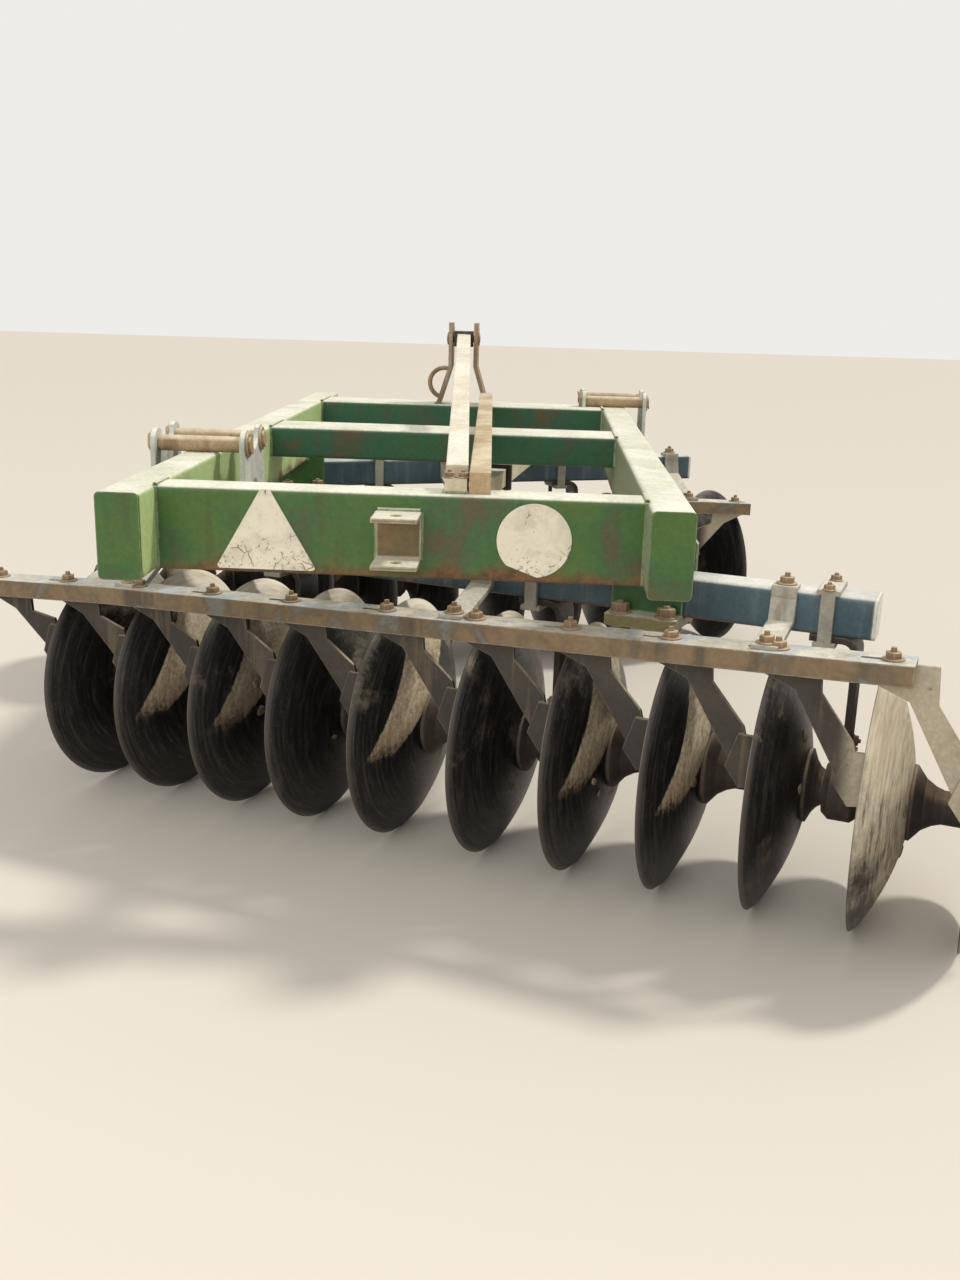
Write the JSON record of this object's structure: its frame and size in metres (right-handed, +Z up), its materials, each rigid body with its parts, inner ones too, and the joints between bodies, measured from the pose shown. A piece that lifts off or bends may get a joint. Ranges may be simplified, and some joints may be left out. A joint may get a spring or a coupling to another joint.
{
  "type": "mounted V-type disc harrow",
  "caption": "Worn mounted disc harrow: green box-section frame on two angled gangs of plain dished discs, with spools, scrapers, angle clamps and a hitch mast.",
  "frame": {"origin": "middle of the harrow's box, on the floor under it", "axes": "X to the machine's right, Y the way it travels, Z up"},
  "size_m": [2.9608, 3.3294, 1.35],
  "materials": {
    "frame_green": "weathered green paint with rust along the lower edges and pale worn edges",
    "gang_blue": "faded blue-grey paint, bleached on top",
    "worn_plate": "paint bleached almost to bare plate, with rust runs",
    "bleached_bar": "sun-bleached cream paint with rust freckles",
    "rust_bar": "tan and rusty bare bar",
    "black_steel": "dark, dusty hot-rolled steel",
    "bar_galvanised": "grey zinc worn through to tan rust",
    "scraper_steel": "dull brown steel with dry soil",
    "disc_steel": "dark earth-worn steel with pale dry soil",
    "cast_iron": "dark cast iron caked with soil"
  },
  "bodies": {
    "frame": {"left_side_beam": "frame_green", "right_side_beam": "frame_green", "rear_cross_beam": "frame_green", "mid_cross_beam": "frame_green", "front_cross_beam": "frame_green", "beam_end_plates": "frame_green", "rear_tow_bracket": "worn_plate", "mast_plates": "worn_plate", "mast_head": "black_steel", "mast_strut": "bleached_bar", "mast_brace": "rust_bar", "hose_guide": "rust_bar", "lower_hitch_left": "frame_green", "lower_hitch_right": "frame_green", "left_angle_clamp": "worn_plate", "right_angle_clamp": "worn_plate", "clamp_pins": "rust_bar", "gang_link": "bleached_bar", "link_collar": "black_steel", "rear_gang_beam": "gang_blue", "front_gang_beam": "gang_blue", "rear_saddle": "frame_green", "front_saddle": "frame_green", "rear_hangers": "black_steel", "front_hangers": "black_steel", "rear_hanger_clamps": "rust_bar", "front_hanger_clamps": "rust_bar", "rear_bearings": "cast_iron", "front_bearings": "cast_iron", "rear_scraper_bar": "bar_galvanised", "front_scraper_bar": "bar_galvanised", "rear_bar_straps": "rust_bar", "front_bar_straps": "rust_bar", "rear_scrapers": "scraper_steel", "front_scrapers": "scraper_steel"},
    "rear_gang": {"rear_axle": "cast_iron", "rear_discs": "disc_steel", "rear_spools": "cast_iron", "rear_gang_ends": "cast_iron"},
    "front_gang": {"front_axle": "cast_iron", "front_discs": "disc_steel", "front_spools": "cast_iron", "front_gang_ends": "cast_iron"}
  },
  "joints": [
    {"name": "rear_gang_turn", "type": "hinge", "parent": "frame", "child": "rear_gang", "pos_m": [0.1485, -0.92409, 0.33], "axis": [0.9373, -0.3486, 0], "continuous": true},
    {"name": "front_gang_turn", "type": "hinge", "parent": "frame", "child": "front_gang", "pos_m": [-0.1485, 0.91991, 0.33], "axis": [0.9373, 0.3486, 0], "continuous": true}
  ]
}
